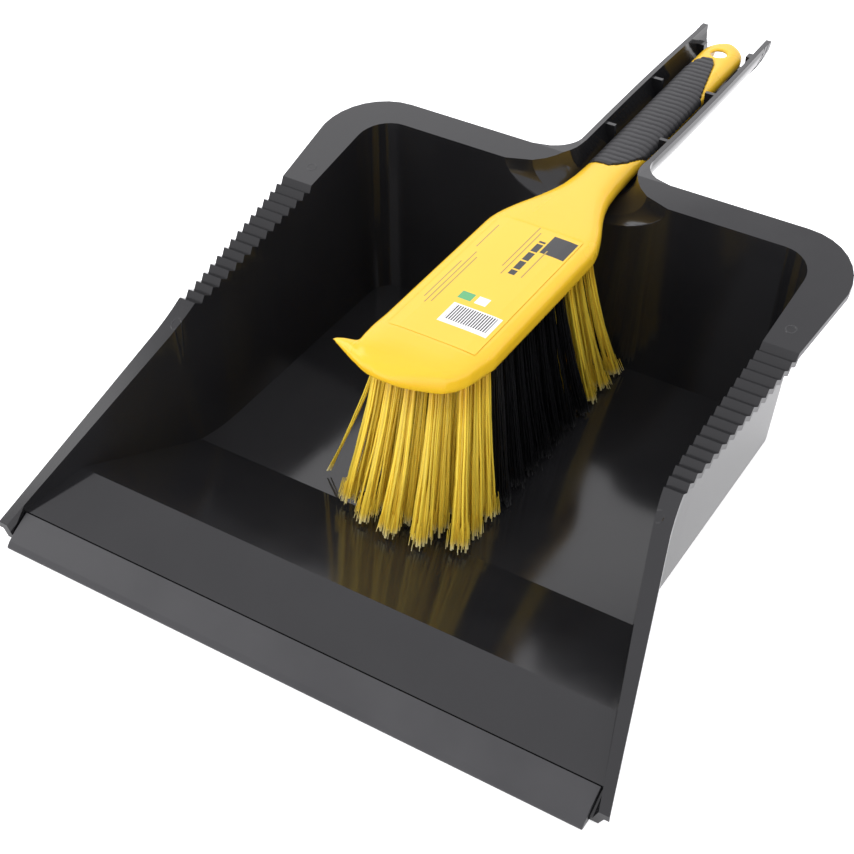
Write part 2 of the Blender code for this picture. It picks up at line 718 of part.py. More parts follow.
def build_brush_body(finish):
    rings = [rounded(*section) for section in brush_sections()]
    body = loft("brush_body", rings, finish)
    combine(body, "UNION", horn(finish))
    combine(body, "DIFFERENCE", crown_plate("recess", GAP, -LABEL_THICK - GAP, 3.0, finish))

    combine(body, "DIFFERENCE", sleeve_zone("sleeve_seat", GAP, finish))
    front, rear = SLEEVE_FRONT - 2 * INTO, SLEEVE_REAR + INTO
    core = handle_loft("core", SLEEVE_THICK, front, rear, finish)
    combine(body, "UNION", core)

    hole = BRUSH_END - HANG_HOLE_FROM_END
    levels = (GRIP_BOTTOM - PAST, GRIP_TOP + GRIP_RISE + PAST)
    rings = [ellipse(0, hole, z, HANG_HOLE, HANG_HOLE, 16) for z in levels]
    combine(body, "DIFFERENCE", loft("hang_hole", rings, finish))
    roof = GRIP_TOP + GRIP_RISE - END_CHANNEL_ROOF
    wide = END_CHANNEL_HALF_WIDTH
    rings = []
    low, cut = GRIP_BOTTOM - PAST, END_CHANNEL_CHAMFER
    outline = [(wide, low), (wide, roof - cut), (wide - cut, roof)]
    outline += [(-x, z) for x, z in reversed(outline)]
    for depth in (BRUSH_END - END_CHANNEL_LENGTH, BRUSH_END + PAST):
        rings.append([(x, depth, z) for x, z in outline])
    combine(body, "DIFFERENCE", loft("end_channel", rings, finish))

    drill = bmesh.new()
    radius = TUFT_RADIUS + GAP
    for _, _, x, depth in tuft_roots():
        low = [drill.verts.new(place(*p)) for p in ellipse(x, depth, BLOCK_BOTTOM - PAST, radius, radius)]
        top = BLOCK_BOTTOM + TUFT_HOLE_DEPTH
        high = [drill.verts.new(place(*p)) for p in ellipse(x, depth, top, radius, radius)]
        drill.faces.new(low[::-1])
        drill.faces.new(high)
        for i in range(SIDES):
            j = (i + 1) % SIDES
            drill.faces.new((low[i], low[j], high[j], high[i]))
    mesh = bpy.data.meshes.new("drills")
    drill.to_mesh(mesh)
    drill.free()
    drills = bpy.data.objects.new("drills", mesh)
    bpy.context.scene.collection.objects.link(drills)
    combine(body, "DIFFERENCE", drills)
    smooth(body)


def build_sleeve(finish):
    """Soft rubber moulded over the handle, standing a little proud of it."""
    front, rear = SLEEVE_FRONT - 4, SLEEVE_REAR + 2
    sleeve = handle_loft("rubber_grip", -SLEEVE_PROUD, front, rear, finish)
    combine(sleeve, "INTERSECT", sleeve_zone("sleeve_zone", 0.0, finish))
    core = handle_loft("sleeve_core", SLEEVE_THICK - GAP, front - 6, rear + 6, finish)
    combine(sleeve, "DIFFERENCE", core)
    smooth(sleeve)


def crown(x):
    """Height of the block's top across its width."""
    middle = (BLOCK_TOP + BLOCK_BOTTOM) / 2
    share = 1 - abs(x / BLOCK_HALF_WIDTH) ** BLOCK_TOP_SQUARE
    return middle + (BLOCK_TOP - middle) * share ** (1 / BLOCK_TOP_SQUARE)


def crown_plate(name, grow, under, over, finish):
    """A plate bent to the crown, as large as the label and `grow` more all round."""
    across = spaced(-LABEL_HALF_WIDTH - grow, LABEL_HALF_WIDTH + grow, 9)
    rings = []
    for depth in (LABEL_FRONT - grow, LABEL_REAR + grow):
        low = [(x, depth, crown(x) + under) for x in across]
        high = [(x, depth, crown(x) + over) for x in reversed(across)]
        rings.append(low + high)
    return loft(name, rings, finish)


def build_label(finish):
    """A thin film that lies in a shallow recess of the block, level with its crown."""
    smooth(crown_plate("label_film", 0.0, -LABEL_THICK, 0.0, finish))


# ---------------------------------------------------------------- tufts
def tuft(name, x, depth, across, finish):
    """One bundle: straight in its hole, then fanned out to its tip just above the pan's floor."""
    behind = depth - BLOCK_FRONT - FAN_MIDDLE
    tip_x = x * (1 + FAN_ACROSS)
    tip_depth = depth + behind * (FAN_REAR if behind > 0 else FAN_FRONT)
    tip_z = floor_top(tip_depth - TIP_RADIUS_ALONG) + GAP
    root_z = BLOCK_BOTTOM + TUFT_HOLE_DEPTH - GAP
    rings = [
        ellipse(x, depth, root_z, TUFT_RADIUS, TUFT_RADIUS),
        ellipse(x, depth, BLOCK_BOTTOM, TUFT_RADIUS, TUFT_RADIUS),
        ellipse(tip_x, tip_depth, tip_z, across, TIP_RADIUS_ALONG),
    ]
    return loft(name, rings, finish)


def build_tufts(yellow, black):
    """Yellow tufts stand alone; the five black tufts of a row, whose tips meet, are one solid."""
    for row in range(TUFT_ROWS):
        places = [root for root in tuft_roots() if root[0] == row]
        at_end = row < YELLOW_ROWS or row >= TUFT_ROWS - YELLOW_ROWS
        if at_end:
            for _, column, x, depth in places:
                name = f"yellow_tuft_{row + 1:02d}_{column + 1}"
                smooth(tuft(name, x, depth, TIP_RADIUS_YELLOW, yellow))
            continue
        name = f"black_tufts_{row + 1:02d}"
        joined = None
        for _, column, x, depth in places:
            one = tuft(name if joined is None else "tuft", x, depth, TIP_RADIUS_BLACK, black)
            joined = one if joined is None else combine(joined, "UNION", one)
        smooth(joined)


def main():
    clear_scene()
    polypropylene = material("black_polypropylene", (0.035, 0.035, 0.037), 0.3)
    rubber = material("lip_rubber", (0.05, 0.05, 0.053), 0.55)
    yellow = material("yellow_polypropylene", (0.93, 0.66, 0.05), 0.25)
    soft_grip = material("grip_rubber", (0.04, 0.04, 0.042), 0.65)
    film = material("label_film", (0.94, 0.72, 0.12), 0.35)
    yellow_bristle = material("yellow_bristle", (0.93, 0.68, 0.05), 0.4)
    black_bristle = material("black_bristle", (0.01, 0.01, 0.01), 0.35)
    build_pan(polypropylene)
    build_lip(rubber)
    build_brush_body(yellow)
    build_sleeve(soft_grip)
    build_label(film)
    build_tufts(yellow_bristle, black_bristle)


main()
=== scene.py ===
# %% [markdown]
# # A dust pan with its hand brush
#
# The set is a black pan moulded in one piece, a rubber lip along its front edge, and a yellow hand
# brush that lies in the pan's trough handle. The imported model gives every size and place. This
# script gives it the surfaces that a hand and an eye would notice: rounded edges, thousands of
# bristles, a ribbed grip, a printed label and plastics that shine as moulded plastics do.

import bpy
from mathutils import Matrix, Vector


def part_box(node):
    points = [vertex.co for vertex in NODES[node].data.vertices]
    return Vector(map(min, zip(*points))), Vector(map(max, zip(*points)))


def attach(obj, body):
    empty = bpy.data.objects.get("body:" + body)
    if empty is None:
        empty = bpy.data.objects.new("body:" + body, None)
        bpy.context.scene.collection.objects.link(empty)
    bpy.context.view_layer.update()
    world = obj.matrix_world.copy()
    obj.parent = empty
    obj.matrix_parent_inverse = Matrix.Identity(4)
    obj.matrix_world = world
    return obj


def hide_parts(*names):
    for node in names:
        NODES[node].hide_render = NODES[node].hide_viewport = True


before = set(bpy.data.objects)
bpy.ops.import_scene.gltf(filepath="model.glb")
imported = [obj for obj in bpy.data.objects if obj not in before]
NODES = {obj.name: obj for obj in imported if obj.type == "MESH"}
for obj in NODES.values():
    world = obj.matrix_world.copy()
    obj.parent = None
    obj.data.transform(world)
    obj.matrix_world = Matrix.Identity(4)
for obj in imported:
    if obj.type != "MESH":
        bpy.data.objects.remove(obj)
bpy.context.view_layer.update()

from math import cos, pi, radians, sin

import bmesh
import bpy
from mathutils import Vector

MM = 0.001

# %% [markdown]
# ## The camera
#
# The set is seen from its front right and from above, as by a person who bends down to it. A wide
# lens from nearby would make the pan's front corner bulge, so the camera stands back with a long
# lens. Its place is given in metres in the model's own frame, and its two angles aim it.

# %% Camera
LENS = 71.37
SENSOR = 36.0
CAMERA_PLACE = (0.3188, -0.6214, 0.5657)
CAMERA_AZIMUTH = 31.73
CAMERA_ELEVATION = 40.37
CLIP_NEAR, CLIP_FAR = 0.01, 50.0


def towards_camera(azimuth, elevation):
    """Unit vector from the object to a camera at these angles, in degrees."""
    a, e = radians(azimuth), radians(elevation)
    return Vector((sin(a) * cos(e), -cos(a) * cos(e), sin(e)))


lens = bpy.data.cameras.new("camera")
lens.sensor_width = SENSOR
lens.lens = LENS
lens.clip_start, lens.clip_end = CLIP_NEAR, CLIP_FAR
camera = bpy.data.objects.new("camera", lens)
camera.location = CAMERA_PLACE
camera.rotation_mode = "QUATERNION"
back = towards_camera(CAMERA_AZIMUTH, CAMERA_ELEVATION)
camera.rotation_quaternion = (-back).to_track_quat("-Z", "Y")
bpy.context.scene.collection.objects.link(camera)
bpy.context.scene.camera = camera
print("camera at", CAMERA_PLACE)

# %% [markdown]
# ## Short words for node trees
#
# Materials and Geometry Nodes are both trees of nodes joined by links. Adding each node and link by
# hand takes many lines that all look alike, so four small functions do it: one adds a node with its
# inputs, two do sums, and one starts a group that other trees can use.


# %% Node helpers
def place_node(tree, kind, inputs=None, **settings):
    """Adds a node, sets its properties, then its inputs: a socket is linked, anything else is a value."""
    made = tree.nodes.new(kind)
    for name, value in settings.items():
        setattr(made, name, value)
    for key, value in (inputs or {}).items():
        if isinstance(value, bpy.types.NodeSocket):
            tree.links.new(value, made.inputs[key])
        else:
            made.inputs[key].default_value = value
    return made


def arithmetic(tree, operation, first, second=0.0):
    return place_node(tree, "ShaderNodeMath", {0: first, 1: second}, operation=operation).outputs[0]


def remap(tree, value, low, high, to_low=0.0, to_high=1.0):
    inputs = {"Value": value, "From Min": low, "From Max": high, "To Min": to_low, "To Max": to_high}
    return place_node(tree, "ShaderNodeMapRange", inputs).outputs["Result"]


def new_group(name, kind, inputs, outputs):
    """A node group with sockets given as {name: (type, default)} and {name: type}."""
    tree = bpy.data.node_groups.new(name, kind)
    for label, (socket, default) in inputs.items():
        made = tree.interface.new_socket(label, in_out="INPUT", socket_type=socket)
        if default is not None:
            made.default_value = default
    for label, socket in outputs.items():
        tree.interface.new_socket(label, in_out="OUTPUT", socket_type=socket)
    start = tree.nodes.new("NodeGroupInput")
    end = tree.nodes.new("NodeGroupOutput")
    return tree, start.outputs, end.inputs


# %% [markdown]
# ## The white room
#
# Black plastic is seen mostly by what it mirrors. A few lamps in a dark room would leave hard spots
# with black between them, so the room itself is the light: it is white all round, and a little
# brighter right overhead. Two large, weak sheets only lift the rear and the left side. The floor is
# a wide sheet of glowing paper, which stays white and still takes a soft shadow.

# %% Room
SKY_COLOUR = (0.97, 0.96, 1.0, 1.0)
WALLS_LIGHT, CEILING_LIGHT = 1.2, 1.35
WALLS_END, CEILING_START = 0.80, 0.97  # heights on the unit sphere between which the room brightens
FLOOR_REACH = 6.0
FLOOR_DROP = 0.2 * MM  # keeps the floor out of the plane of the pieces that lie on it
room = bpy.data.worlds.new("white room")
bpy.context.scene.world = room
room.use_nodes = True
sky = room.node_tree.nodes["Background"]
sky.inputs["Color"].default_value = SKY_COLOUR
seen = place_node(room.node_tree, "ShaderNodeTexCoord").outputs["Generated"]
high = place_node(room.node_tree, "ShaderNodeSeparateXYZ", {0: seen}).outputs[2]
light = remap(room.node_tree, high, WALLS_END, CEILING_START, WALLS_LIGHT, CEILING_LIGHT)
room.node_tree.links.new(light, sky.inputs["Strength"])
bpy.context.scene.view_settings.view_transform = "Standard"

floor_mesh = bpy.data.meshes.new("studio_floor")
corners = [(x * FLOOR_REACH, y * FLOOR_REACH, 0) for x, y in ((-1, -1), (1, -1), (1, 1), (-1, 1))]
floor_mesh.from_pydata(corners, [], [(0, 1, 2, 3)])
studio_floor = bpy.data.objects.new("studio_floor", floor_mesh)
studio_floor.location.z = -FLOOR_DROP
bpy.context.scene.collection.objects.link(studio_floor)

# %% Lamps
LAMP_AIM = Vector((0, 0, 0.05))


def area_lamp(name, place, size, watts):
    lamp = bpy.data.lights.new(name, "AREA")
    lamp.shape = "RECTANGLE"
    lamp.size, lamp.size_y = size
    lamp.energy = watts
    made = bpy.data.objects.new(name, lamp)
    made.location = place
    made.rotation_mode = "QUATERNION"
    made.rotation_quaternion = (LAMP_AIM - Vector(place)).to_track_quat("-Z", "Y")
    bpy.context.scene.collection.objects.link(made)


area_lamp("rear sheet", (-0.9, 1.5, 1.3), (1.6, 1.0), 3.0)
area_lamp("left sheet", (-1.5, -0.5, 0.9), (1.0, 1.2), 8.0)

# %% [markdown]
# ## Effects shared by the materials
#
# Every moulded surface here has the same three small faults, in different amounts: a very fine
# grain from the tool, a slow waviness where the plastic shrank, and faint rubs from handling. They
# could be written into each material, but one node group with named inputs keeps them alike, and
# each material only chooses how much of each it wants. The group gives out a height and two masks,
# never a shader.

# %% Moulded surface group
WAVE_SIZE = 60.0
PATCH_SCALE = 22.0
PATCH_LOW, PATCH_HIGH = 0.35, 0.65
RUB_STRETCH = (260.0, 26.0, 90.0)  # long streaks along the depth of the pan
RUB_LOW, RUB_HIGH = 0.58, 0.75
moulded, given, result = new_group(
    "moulded surface",
    "ShaderNodeTree",
    {
        "Grain Size": ("NodeSocketFloat", 0.4),
        "Wave Size": ("NodeSocketFloat", WAVE_SIZE),
        "Grain Amount": ("NodeSocketFloat", 0.2),
    },
    {"Height": "NodeSocketFloat", "Patches": "NodeSocketFloat", "Rubs": "NodeSocketFloat"},
)


def noise(place, scale, detail):
    inputs = {"Vector": place, "Scale": scale, "Detail": detail}
    return place_node(moulded, "ShaderNodeTexNoise", inputs).outputs[0]


spot = place_node(moulded, "ShaderNodeTexCoord").outputs["Object"]
grain = noise(spot, arithmetic(moulded, "DIVIDE", 1000.0, given["Grain Size"]), 2.0)
waves = noise(spot, arithmetic(moulded, "DIVIDE", 1000.0, given["Wave Size"]), 1.0)
grain_part = arithmetic(moulded, "MULTIPLY", grain, given["Grain Amount"])
moulded.links.new(arithmetic(moulded, "ADD", waves, grain_part), result["Height"])
patches = noise(spot, PATCH_SCALE, 4.0)
moulded.links.new(remap(moulded, patches, PATCH_LOW, PATCH_HIGH), result["Patches"])
streaks = place_node(moulded, "ShaderNodeMapping", {"Vector": spot, "Scale": RUB_STRETCH}).outputs[0]
rubs = noise(streaks, 1.0, 3.0)
moulded.links.new(remap(moulded, rubs, RUB_LOW, RUB_HIGH), result["Rubs"])
print("group:", moulded.name, "with", len(moulded.nodes), "nodes")

# %% A finish built on the group
RUBS_SHOW, PATCHES_SHOW = 0.6, 0.5  # how far each moves the roughness
RELIEF_DEPTH = 0.2 * MM
MIX_FIRST, MIX_SECOND, MIX_RESULT = 6, 7, 2  # the colour sockets of a Mix node


def mix_colours(tree, mask, first, second):
    """The first colour where the mask is 0, the second where it is 1."""
    inputs = {"Factor": mask, MIX_FIRST: first, MIX_SECOND: second}
    return place_node(tree, "ShaderNodeMix", inputs, data_type="RGBA").outputs[MIX_RESULT]


def surface_of(name, colours, roughness, bump, grain=(0.4, 0.2)):
    """A material between two colours and two roughnesses, patchy and rubbed. Returns what others add to."""
    made = bpy.data.materials.new(name)
    made.use_nodes = True
    tree = made.node_tree
    shader = tree.nodes["Principled BSDF"]
    inputs = {"Grain Size": grain[0], "Grain Amount": grain[1], "Wave Size": WAVE_SIZE}
    faults = place_node(tree, "ShaderNodeGroup", inputs, node_tree=moulded).outputs
    colour = mix_colours(tree, faults["Patches"], (*colours[0], 1.0), (*colours[1], 1.0))
    tree.links.new(colour, shader.inputs["Base Color"])
    rubbed = arithmetic(tree, "MULTIPLY", faults["Rubs"], RUBS_SHOW)
    patchy = arithmetic(tree, "MULTIPLY", faults["Patches"], PATCHES_SHOW)
    dull = arithmetic(tree, "MAXIMUM", rubbed, patchy)
    tree.links.new(remap(tree, dull, 0.0, 1.0, *roughness), shader.inputs["Roughness"])
    inputs = {"Strength": bump, "Distance": RELIEF_DEPTH, "Height": faults["Height"]}
    normal = place_node(tree, "ShaderNodeBump", inputs).outputs["Normal"]
    tree.links.new(normal, shader.inputs["Normal"])
    return made, tree, shader, colour, normal


# %% The paper under the set
PAPER_GLOW = 0.62


def white_paper(name):
    """White paper lit from behind, as on a light table."""
    greys = ((0.86, 0.86, 0.86), (0.88, 0.88, 0.88))
    made, _, shader, _, _ = surface_of(name, greys, (0.8, 0.9), bump=0.02)
    shader.inputs["Emission Color"].default_value = (1.0, 1.0, 1.0, 1.0)
    shader.inputs["Emission Strength"].default_value = PAPER_GLOW
    return made


studio_floor.data.materials.append(white_paper("studio_paper"))

# %% [markdown]
# ## The two plastics and the two rubbers
#
# The pan is black polypropylene straight from a polished tool: almost no colour of its own, so its
# greys are all reflections. The brush is the same plastic in a warm yellow, where a little light
# goes into the surface and comes out again, which softens its shadows. The lip is a soft dark
# rubber, greyer and duller than the pan. The grip is a matte rubber.
#
# The pan also has four faint rings, where the pins that push it out of its tool have pressed. They
# are too low to be worth faces of their own, so they are written into the height of its material.

# %% Materials of the mouldings
pan_black, pan_tree, pan_shader, _, pan_normal = surface_of(
    "pan_black", ((0.011, 0.011, 0.012), (0.014, 0.014, 0.015)), (0.10, 0.18), bump=0.06, grain=(0.5, 0.04)
)
lip_rubber, _, _, _, _ = surface_of(
    "lip_rubber", ((0.03, 0.03, 0.032), (0.04, 0.04, 0.042)), (0.38, 0.52), bump=0.25, grain=(0.35, 0.25)
)
brush_yellow, _, yellow_shader, _, _ = surface_of(
    "brush_yellow", ((0.90, 0.55, 0.022), (0.92, 0.57, 0.026)), (0.22, 0.34), bump=0.10, grain=(0.5, 0.06)
)
yellow_shader.inputs["Subsurface Weight"].default_value = 0.12
yellow_shader.inputs["Subsurface Scale"].default_value = 3 * MM
yellow_shader.inputs["Subsurface Radius"].default_value = (1.0, 0.6, 0.15)  # red goes deepest
grip_rubber, _, _, _, _ = surface_of(
    "grip_rubber", ((0.028, 0.028, 0.030), (0.038, 0.038, 0.040)), (0.48, 0.60), bump=0.3, grain=(0.3, 0.4)
)
print("materials:", [m.name for m in (pan_black, lip_rubber, brush_yellow, grip_rubber)])

# %% Rings of the ejector pins
PIN_RADIUS = 2.5 * MM
PIN_LINE = 0.35 * MM
PIN_STRENGTH = 0.8
PIN_PLACES = [(x * MM, y * MM) for x, y in ((128.5, -128), (-128.5, -128), (134, -4), (-134, -4))]


def vector_between(operation, first, second, output):
    """A vector sum in the pan's material."""
    inputs = {0: first, 1: second}
    return place_node(pan_tree, "ShaderNodeVectorMath", inputs, operation=operation).outputs[output]


spot = place_node(pan_tree, "ShaderNodeTexCoord").outputs["Object"]
flat_spot = vector_between("MULTIPLY", spot, (1.0, 1.0, 0.0), "Vector")
pins = 0.0
for x, y in PIN_PLACES:
    away = vector_between("DISTANCE", flat_spot, (x, y, 0.0), "Value")
    off = arithmetic(pan_tree, "ABSOLUTE", arithmetic(pan_tree, "SUBTRACT", away, PIN_RADIUS))
    pins = arithmetic(pan_tree, "ADD", remap(pan_tree, off, 0.0, PIN_LINE, 1.0, 0.0), pins)
pin_inputs = {"Strength": PIN_STRENGTH, "Distance": PIN_LINE, "Height": pins, "Normal": pan_normal}
pin_marks = place_node(pan_tree, "ShaderNodeBump", pin_inputs)
pan_tree.links.new(pin_marks.outputs["Normal"], pan_shader.inputs["Normal"])
print(len(PIN_PLACES), "pin rings")

# %% [markdown]
# ## The pan
#
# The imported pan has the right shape, but its edges are as sharp as folded paper. A moulded edge is
# rounded, if only by half a millimetre, and that is what catches the light along the rim and the
# teeth. Modelling each rounding by hand would take long and break whenever the pan changes. So the
# copy's loose triangles are merged, flat areas are made single faces again, and a Bevel rounds each
# edge that turns by more than a few degrees.

# %% Copying a node as one clean mesh
MERGE_DISTANCE = 0.01 * MM
SAME_PLANE = 0.4  # degrees


def clean_copy(node, name, material, join_flats=True):
    """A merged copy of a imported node's mesh, with triangles of the same plane joined."""
    mesh = NODES[node].data.copy()
    mesh.name = name
    shape = bmesh.new()
    shape.from_mesh(mesh)
    bmesh.ops.remove_doubles(shape, verts=shape.verts, dist=MERGE_DISTANCE)
    if join_flats:
        bmesh.ops.dissolve_limit(
            shape,
            angle_limit=radians(SAME_PLANE),
            verts=shape.verts,
            edges=shape.edges,
            use_dissolve_boundaries=False,
        )
    shape.to_mesh(mesh)
    shape.free()
    mesh.materials.clear()
    mesh.materials.append(material)
    made = bpy.data.objects.new(name, mesh)
    bpy.context.scene.collection.objects.link(made)
    return made


def apply_modifiers(obj):
    """Turns the evaluated object into its plain mesh."""
    bpy.context.view_layer.update()
    graph = bpy.context.evaluated_depsgraph_get()
    mesh = bpy.data.meshes.new_from_object(obj.evaluated_get(graph))
    obj.modifiers.clear()
    obj.data = mesh
    mesh.name = obj.name


# %% Rounded edges
ROUNDED_FROM = 14  # degrees of turn
SHARP_FROM = 89
FLAT_WEIGHT = 80


def round_edges(obj, width, segments=2):
    """Smooth shading with the edges bevelled, and flat faces that still look flat beside them."""
    obj.data.shade_smooth()
    obj.data.set_sharp_from_angle(angle=radians(SHARP_FROM))
    bevel = obj.modifiers.new("rounded edges", "BEVEL")
    bevel.width = width
    bevel.segments = segments
    bevel.limit_method = "ANGLE"
    bevel.angle_limit = radians(ROUNDED_FROM)
    bevel.miter_outer = "MITER_ARC"
    bevel.use_clamp_overlap = True
    flat = obj.modifiers.new("flat faces stay flat", "WEIGHTED_NORMAL")
    flat.keep_sharp = True
    flat.weight = FLAT_WEIGHT
    apply_modifiers(obj)


# %% Pan
pan = clean_copy("pan_body", "pan_moulding", pan_black)
round_edges(pan, 0.5 * MM)
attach(pan, "pan")
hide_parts("pan_body")
print(pan.name, len(pan.data.polygons), "faces")

# %% [markdown]
# ## The rubber lip
#
# A strip of soft rubber is pushed on to the pan's front edge, so that it lies flat on the ground
# and no dirt slips under. It is an extrusion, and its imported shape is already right, so it only
# needs the same rounded edges as the pan, in three steps because the rubber is softer.

# %% Lip
lip = clean_copy("rubber_lip", "lip_strip", lip_rubber)
round_edges(lip, 0.4 * MM, segments=3)
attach(lip, "pan")
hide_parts("rubber_lip")
print(lip.name, len(lip.data.polygons), "faces")

# %% [markdown]
# ## The brush body
#
# The yellow block flows into its neck and its scraper horn without an edge anywhere. A Bevel would
# not do here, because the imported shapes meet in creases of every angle. The solid is turned into a
# fine even skin with a voxel Remesh and then smoothed, which rounds every crease by about a
# millimetre as the real tool does.

# %% Soft skins
SMOOTHING = 0.5


def even_skin(obj, voxel, rounds):
    """Voxel remesh, then smoothing that rounds the creases."""
    skin = obj.modifiers.new("even skin", "REMESH")
    skin.mode = "VOXEL"
    skin.voxel_size = voxel
    soft = obj.modifiers.new("soft", "SMOOTH")
    soft.factor = SMOOTHING
    soft.iterations = rounds
    apply_modifiers(obj)
    obj.data.shade_smooth()


# %% Brush body
brush = clean_copy("brush_body", "brush_moulding", brush_yellow, join_flats=False)
even_skin(brush, 0.9 * MM, 8)
brush.data.materials.clear()
brush.data.materials.append(brush_yellow)
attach(brush, "brush")
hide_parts("brush_body")
print(brush.name, len(brush.data.polygons), "faces")

# %% [markdown]
# ## The ribbed grip
#
# The grip is a rubber skin with about two dozen flat bands across it, parted by thin grooves. Each
# groove could be cut with a Boolean, but they all follow one rule: how far along the handle a point
# lies. So Geometry Nodes press them into the skin, and every point moves inwards by the depth of a
# groove where it lies in one.

# %% Grooves as Geometry Nodes
GROOVE_PITCH = 4.2 * MM
GROOVE_DEPTH = 0.75 * MM
GROOVE_SLANT = 0.12  # the grooves bend back a little at the sides
GROOVE_OFFSET = 1.2 * MM  # of the first groove from the grip's front
BANK_START, BANK_END = 0.25, 0.95  # of a cosine: where a groove's bank begins and ends
grooves, given, result = new_group(
    "grip grooves",
    "GeometryNodeTree",
    {
        "Geometry": ("NodeSocketGeometry", None),
        "Pitch": ("NodeSocketFloat", GROOVE_PITCH),
        "Depth": ("NodeSocketFloat", GROOVE_DEPTH),
        "Front": ("NodeSocketFloat", 0.0),
        "Slant": ("NodeSocketFloat", 0.0),
    },
    {"Geometry": "NodeSocketGeometry"},
)
position = place_node(grooves, "GeometryNodeInputPosition").outputs[0]
where = place_node(grooves, "ShaderNodeSeparateXYZ", {0: position})
side = arithmetic(grooves, "ABSOLUTE", where.outputs[0])
lean = arithmetic(grooves, "MULTIPLY", side, given["Slant"])
leaned = arithmetic(grooves, "SUBTRACT", where.outputs[1], lean)
ahead = arithmetic(grooves, "SUBTRACT", leaned, given["Front"])
turns = arithmetic(grooves, "DIVIDE", ahead, given["Pitch"])
swing = arithmetic(grooves, "COSINE", arithmetic(grooves, "MULTIPLY", turns, 2 * pi))
sunk = arithmetic(grooves, "MULTIPLY", remap(grooves, swing, BANK_START, BANK_END), given["Depth"])
outward = place_node(grooves, "GeometryNodeInputNormal").outputs[0]
inwards = arithmetic(grooves, "MULTIPLY", sunk, -1.0)
move = place_node(grooves, "ShaderNodeVectorMath", {0: outward, "Scale": inwards}, operation="SCALE")
pressed = place_node(
    grooves, "GeometryNodeSetPosition", {"Geometry": given["Geometry"], "Offset": move.outputs[0]}
)
painted = place_node(
    grooves, "GeometryNodeSetMaterial", {"Geometry": pressed.outputs[0], "Material": grip_rubber}
)
grooves.links.new(painted.outputs[0], result["Geometry"])


def run_tree(obj, tree, **values):
    """Puts a Geometry Nodes tree on an object with its inputs set, and makes the result plain mesh."""
    made = obj.modifiers.new(tree.name, "NODES")
    made.node_group = tree
    by_name = {s.name: s.identifier for s in tree.interface.items_tree if s.in_out == "INPUT"}
    for label, value in values.items():
        made[by_name[label.replace("_", " ")]] = value
    apply_modifiers(obj)


# %% Grip
first_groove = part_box("rubber_grip")[0].y + GROOVE_OFFSET
grip = clean_copy("rubber_grip", "grip_sleeve", grip_rubber, join_flats=False)
even_skin(grip, 0.42 * MM, 4)
run_tree(grip, grooves, Pitch=GROOVE_PITCH, Depth=GROOVE_DEPTH, Front=first_groove, Slant=GROOVE_SLANT)
grip.data.shade_smooth()
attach(grip, "brush")
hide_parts("rubber_grip")
print(grip.name, len(grip.data.polygons), "faces")

# %% [markdown]
# ## Where the bristles grow
#
# The tufts stand in rows across the block, upright in the middle and fanned out towards the front,
# the rear and both sides. Their places could be typed in again, but then they would drift away from
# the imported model. So each yellow tuft's root and tip are read from its own solid. The black tufts
# of a row are one solid, so their tips follow from the fan that the yellow ones show.

# %% Where the tufts start and end
COLUMN_REACH = 5 * MM  # less than half the pitch of the columns
SAME_HEIGHT = 0.4 * MM
TUFTS_APART = 10  # in the list, between the tufts that a fan is measured from: two rows of five


def ring_middle(points, height):
    """Middle of a mesh's points at one height."""
    level = [p for p in points if abs(p.z - height) < SAME_HEIGHT]
    return Vector([sum(c) / len(level) for c in zip(*level)])


def tuft_ends(node):
    """(root, tip) of a tuft that has a solid of its own."""
    points = [v.co for v in NODES[node].data.vertices]
    heights = [p.z for p in points]
    return ring_middle(points, max(heights)), ring_middle(points, min(heights))


yellow_names = sorted(n for n in NODES if n.startswith("yellow_tuft"))
black_names = sorted(n for n in NODES if n.startswith("black_tufts"))
yellow_tufts = [tuft_ends(name) for name in yellow_names]
FAN_ACROSS = yellow_tufts[0][1].x / yellow_tufts[0][0].x
COLUMNS = sorted({round(root.x, 4) for root, _ in yellow_tufts})


def fan(near, far):
    """(spread, still point) along the brush that two tufts share."""
    spread = (far[1].y - near[1].y) / (far[0].y - near[0].y) - 1
    return spread, near[0].y - (near[1].y - near[0].y) / spread


front_fan = fan(yellow_tufts[0], yellow_tufts[TUFTS_APART])
rear_fan = fan(yellow_tufts[-1 - TUFTS_APART], yellow_tufts[-1])
print("tufts fan out by", [round(v, 3) for v in (FAN_ACROSS - 1, *front_fan, *rear_fan)])

black_tufts = []
for name in black_names:
    points = [v.co for v in NODES[name].data.vertices]
    top, low = max(p.z for p in points), min(p.z for p in points)
    for column in COLUMNS:
        root = ring_middle([p for p in points if abs(p.x - column) < COLUMN_REACH], top)
        spread, still = front_fan if root.y < front_fan[1] else rear_fan
        black_tufts.append((root, Vector((root.x * FAN_ACROSS, root.y + spread * (root.y - still), low))))
print(len(yellow_tufts), "yellow and", len(black_tufts), "black tufts")

# %% [markdown]
# ## The bristle tree
#
# Each tuft is a bundle of straight plastic filaments, so all of them leave the hole together and
# spread as they fall. Hair particles could draw them, but they would have no solid ends and no mesh
# to hand on. One Geometry Nodes tree makes them all instead: it repeats each root point, scatters
# the copies over a disc, draws a curve from each root to the tip that it was given, and turns the
# curves into thin rods.

